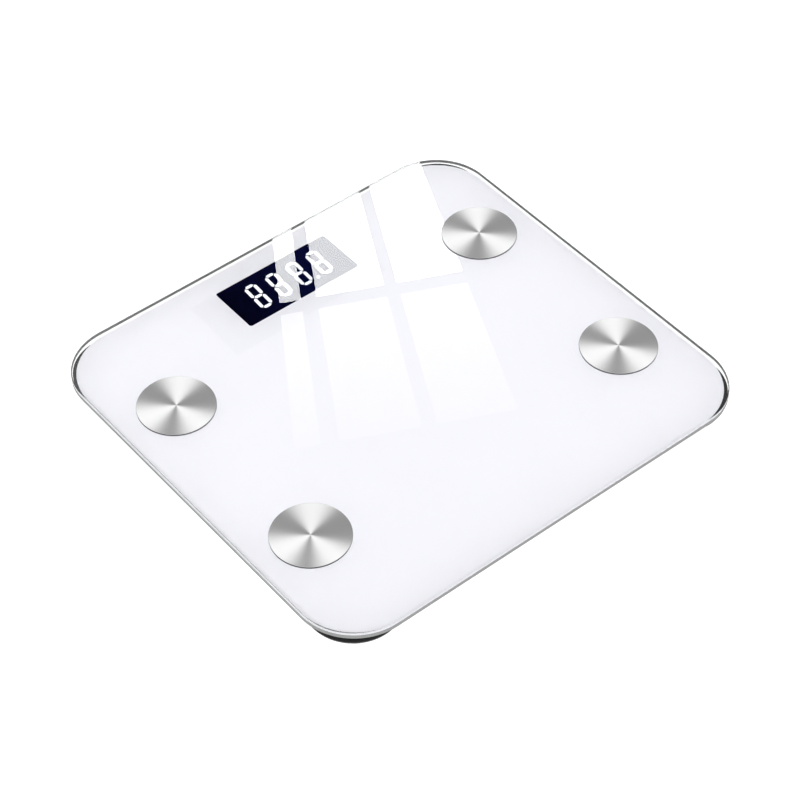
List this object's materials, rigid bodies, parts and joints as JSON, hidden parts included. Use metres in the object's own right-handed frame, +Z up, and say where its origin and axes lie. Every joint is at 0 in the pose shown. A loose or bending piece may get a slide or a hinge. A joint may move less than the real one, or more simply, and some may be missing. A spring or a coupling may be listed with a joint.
{
  "type": "digital bathroom scale",
  "caption": "Near-square glass platform with round steel electrodes, a dark display window and black corner feet holding load cells.",
  "frame": {"origin": "on the floor, under the middle of the glass platform", "axes": "+X to the right of the person standing on it, +Y towards the display edge, +Z up"},
  "size_m": [0.28, 0.26, 0.025],
  "materials": {
    "clear_glass": "polished, clear",
    "white_film": "white print seen through the glass",
    "brushed_steel": "brushed in circles",
    "black_plastic": "fine moulded grain",
    "white_plastic": "smooth moulded",
    "black_rubber": "matt",
    "plated_steel": "nickel or zinc plated",
    "green_board": "solder mask",
    "display_glass": "dark liquid crystal display",
    "battery_label": "printed sleeve with no lettering",
    "wire_jacket": "wire insulation"
  },
  "bodies": {
    "platform": {"glass_plate": "clear_glass", "printed_film": "white_film", "electrode_front_left": "brushed_steel", "electrode_front_right": "brushed_steel", "electrode_rear_left": "brushed_steel", "electrode_rear_right": "brushed_steel", "stud_bush_front_left": "white_plastic", "stud_bush_front_right": "white_plastic", "stud_bush_rear_left": "white_plastic", "stud_bush_rear_right": "white_plastic", "stud_nut_front_left": "plated_steel", "stud_nut_front_right": "plated_steel", "stud_nut_rear_left": "plated_steel", "stud_nut_rear_right": "plated_steel", "foot_housing_front_left": "black_plastic", "foot_housing_front_right": "black_plastic", "foot_housing_rear_left": "black_plastic", "foot_housing_rear_right": "black_plastic", "load_cell_front_left": "plated_steel", "load_cell_front_right": "plated_steel", "load_cell_rear_left": "plated_steel", "load_cell_rear_right": "plated_steel", "cell_retainer_front_left": "white_plastic", "cell_retainer_front_right": "white_plastic", "cell_retainer_rear_left": "white_plastic", "cell_retainer_rear_right": "white_plastic", "harness_front_left": "wire_jacket", "harness_front_right": "wire_jacket", "harness_rear_left": "wire_jacket", "harness_rear_right": "wire_jacket", "electronics_housing": "black_plastic", "circuit_board": "green_board", "controller_chip": "black_plastic", "board_screw_left": "plated_steel", "board_screw_right": "plated_steel", "tact_switch": "plated_steel", "lcd_panel": "display_glass", "lcd_frame": "black_plastic", "backlight_guide": "white_plastic", "lcd_connector": "black_rubber", "battery_front": "battery_label", "battery_rear": "battery_label", "bridge_contact": "plated_steel", "spring_contact": "plated_steel", "plate_contact": "plated_steel", "side_duct_left": "black_plastic", "side_duct_right": "black_plastic", "cross_duct_left": "black_plastic", "cross_duct_right": "black_plastic"},
    "foot_unit_front_left": {"foot_front_left": "black_plastic", "foot_pad_front_left": "black_rubber"},
    "foot_unit_front_right": {"foot_front_right": "black_plastic", "foot_pad_front_right": "black_rubber"},
    "foot_unit_rear_left": {"foot_rear_left": "black_plastic", "foot_pad_rear_left": "black_rubber"},
    "foot_unit_rear_right": {"foot_rear_right": "black_plastic", "foot_pad_rear_right": "black_rubber"},
    "battery_cover": {"battery_door": "black_plastic"},
    "button": {"unit_button": "white_plastic", "switch_plunger": "black_plastic"}
  },
  "joints": [
    {"name": "foot_press_front_left", "type": "slide", "parent": "platform", "child": "foot_unit_front_left", "axis": [0, 0, 1], "range_m": [0, 0.00025], "stiffness_N_per_m": 60000},
    {"name": "foot_press_front_right", "type": "slide", "parent": "platform", "child": "foot_unit_front_right", "axis": [0, 0, 1], "range_m": [0, 0.00025], "stiffness_N_per_m": 60000},
    {"name": "foot_press_rear_left", "type": "slide", "parent": "platform", "child": "foot_unit_rear_left", "axis": [0, 0, 1], "range_m": [0, 0.00025], "stiffness_N_per_m": 60000},
    {"name": "foot_press_rear_right", "type": "slide", "parent": "platform", "child": "foot_unit_rear_right", "axis": [0, 0, 1], "range_m": [0, 0.00025], "stiffness_N_per_m": 60000},
    {"name": "battery_cover_slide", "type": "slide", "parent": "platform", "child": "battery_cover", "axis": [0, -1, 0], "range_m": [0, 0.03]},
    {"name": "unit_button_press", "type": "slide", "parent": "platform", "child": "button", "axis": [0, 0, 1], "range_m": [0, 0.0004], "stiffness_N_per_m": 2500}
  ]
}
